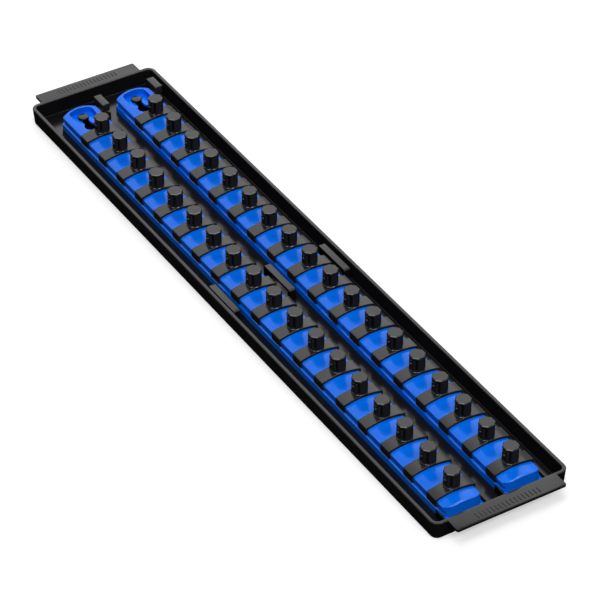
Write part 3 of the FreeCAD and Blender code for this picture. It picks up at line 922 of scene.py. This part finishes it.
def post_patches():
    """Body, finger, collar with neck, bump, lobes and catch, each a stack of outlines."""
    body = [eight_sided(0, BODY_Z - SUNK), eight_sided(0, SILL_Z),
            eight_sided(0, SILL_Z, SLOT_WALL), eight_sided(0, HEAD_Z, SLOT_WALL),
            eight_sided(0, HEAD_Z), eight_sided(0, POST_TOP - POST_BEVEL),
            eight_sided(POST_BEVEL, POST_TOP)]
    finger = [finger_outline(SILL_Z - SUNK), finger_outline(HEAD_Z - FINGER_GAP)]
    collar = [(NECK_RADIUS, NECK_Z), (NECK_RADIUS, COLLAR_Z),
              (COLLAR_RADIUS - COLLAR_FOOT_BEVEL, COLLAR_Z),
              (COLLAR_RADIUS, COLLAR_Z + COLLAR_FOOT_BEVEL),
              (COLLAR_RADIUS, BODY_Z - COLLAR_TOP_BEVEL),
              (COLLAR_RADIUS - COLLAR_TOP_BEVEL, BODY_Z)]
    patches = [rings(body), lid(body[0]), lid(body[-1])]
    patches += [rings(finger), lid(finger[0]), lid(finger[-1])]
    patches += lathed(collar) + grip_bump(FINGER_FRONT, HEAD_Z - BUMP_BELOW_HEAD)
    patches += moulded_block(-LOBE_HALF_LENGTH, LOBE_HALF_LENGTH, -LOBE_HALF_WIDTH,
                             LOBE_HALF_WIDTH, LOBE_Z0, LOBE_Z1, corner=1.4, edge=0.1)
    patches += moulded_block(CATCH_FRONT, CATCH_BACK, -CATCH_HALF_WIDTH, CATCH_HALF_WIDTH,
                             HEAD_Z - CATCH_FOOT_BELOW_HEAD, HEAD_Z - CATCH_TIP_BELOW_HEAD)
    return patches


post_shape = post_patches()
print("a post in", len(post_shape), "patches")

# %% [markdown]
# There are eighteen posts on each rail. They share the same patches and differ only in place,
# and each rides on its own body so that it can turn. The collar touches the right side of a
# post's box, which gives its x, and the middle of the box gives its y.

# %% All the posts
CLIP_COUNT = 18
for side in ("left", "right"):
    for number in range(1, CLIP_COUNT + 1):
        label = f"{side}_{number:02d}"
        low, high = (np.array(corner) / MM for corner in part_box("clip_post_" + label))
        place = [high[0] - COLLAR_RADIUS, (low[1] + high[1]) / 2, 0]
        sew("socket_post_" + label, moved(post_shape, place), "post_" + label,
            "clip_black", node="clip_post_" + label, edge=0.06)
print("posts on both rails:", 2 * CLIP_COUNT)

# %% [markdown]
# The camera stands far off with a long lens, in front of the near end, to the left and above.
# It looks almost at the middle of the tray.

# %% The camera
camera = bpy.data.objects.new("camera", bpy.data.cameras.new("camera"))
bpy.context.scene.collection.objects.link(camera)
bpy.context.scene.camera = camera
camera.data.sensor_width, camera.data.lens = 36.0, 182.45
camera.data.clip_start, camera.data.clip_end = 0.05, 50.0
camera.location = (-0.76238, -1.26567, 1.14421)
look_at = Vector((0.00524, -0.01583, 0.0))
camera.rotation_mode = "QUATERNION"
camera.rotation_quaternion = (look_at - camera.location).to_track_quat("-Z", "Y")
print("camera", round((look_at - camera.location).length, 2), "m away")

# %% [markdown]
# The tray stands on white paper under even white light. The rays that light the tray meet a
# grey paper, so that it throws little light back. Straight, mirrored and refracted looks get a
# glow added to it, which makes the paper white and keeps the shadow soft.

# %% The paper
HALF_PAPER, PAPER_GREY, PAPER_GLOW = 12.0, 0.54, 0.53


def looked_at(made):
    """1 for straight, mirrored and refracted looks, and 0 for rays that light a surface."""
    looks = [made.add("ShaderNodeLightPath", output=ray)
             for ray in ("Is Camera Ray", "Is Glossy Ray", "Is Transmission Ray")]
    return looks[0] + looks[1] + looks[2]


corners = [(-HALF_PAPER, -HALF_PAPER, 0), (HALF_PAPER, -HALF_PAPER, 0),
           (HALF_PAPER, HALF_PAPER, 0), (-HALF_PAPER, HALF_PAPER, 0)]
paper_mesh = bpy.data.meshes.new("paper")
paper_mesh.from_pydata(corners, [], [(0, 1, 2, 3)])
paper = bpy.data.objects.new("paper", paper_mesh)
bpy.context.scene.collection.objects.link(paper)
white = Finish(bpy.data.materials.new("white_paper"))
tone = white.add("ShaderNodeBsdfDiffuse", {}, {"Color": [PAPER_GREY] * 3 + [1]})
glow = white.add("ShaderNodeEmission", {}, {"Strength": PAPER_GLOW * looked_at(white)})
paper_mesh.materials.append(white.finish(white.add("ShaderNodeAddShader", {}, {0: tone, 1: glow})))
print("paper", 2 * HALF_PAPER, "m wide")

# %% [markdown]
# Four softboxes light the set. The big one stands behind, where the flat tops mirror it. The
# key hangs overhead. Two narrow strips, at the left and in front, are what the slanting edges
# mirror, and they draw the thin bright lines round the caps and collars.

# %% The softboxes
def softbox(name, place, aim, wide, tall, power):
    """A rectangular lamp, wide by tall metres, that faces the point it is aimed at."""
    lamp = bpy.data.lights.new(name, "AREA")
    lamp.shape, lamp.size, lamp.size_y, lamp.energy = "RECTANGLE", wide, tall, power
    body = bpy.data.objects.new(name, lamp)
    body.location = place
    body.rotation_mode = "QUATERNION"
    body.rotation_quaternion = (Vector(aim) - Vector(place)).to_track_quat("-Z", "Y")
    bpy.context.scene.collection.objects.link(body)


softbox("back_softbox", (0.87, 1.94, 1.66), (0, 0, 0), wide=2.4, tall=1.7, power=38)
softbox("key_softbox", (-0.4, -0.3, 2.4), (0, 0, 0), wide=1.5, tall=1.5, power=27)
softbox("left_strip", (-1.4, -0.77, 1.92), (0, -0.77, 0), wide=1.4, tall=0.35, power=10)
softbox("front_strip", (0.15, -1.6, 1.9), (0, -0.2, 0), wide=1.9, tall=0.35, power=22)
print("softboxes:", len([lamp for lamp in bpy.data.lights if lamp.type == "AREA"]))

# %% [markdown]
# The room round the set is a dim even light. For straight, mirrored and refracted looks it is
# white, like the paper. It is a finish too, with a background in place of a surface.

# %% The room
ROOM_DIM, ROOM_SEEN = 0.05, 1.0
room = Finish(bpy.data.worlds.new("room"))
level = ROOM_DIM + (ROOM_SEEN - ROOM_DIM) * looked_at(room)
walls = room.add("ShaderNodeBackground", {}, {"Color": (1, 1, 1, 1), "Strength": level})
bpy.context.scene.world = room.finish(walls, "ShaderNodeOutputWorld")
bpy.context.scene.view_settings.view_transform = "Standard"
print("room light from", ROOM_DIM, "to", ROOM_SEEN)
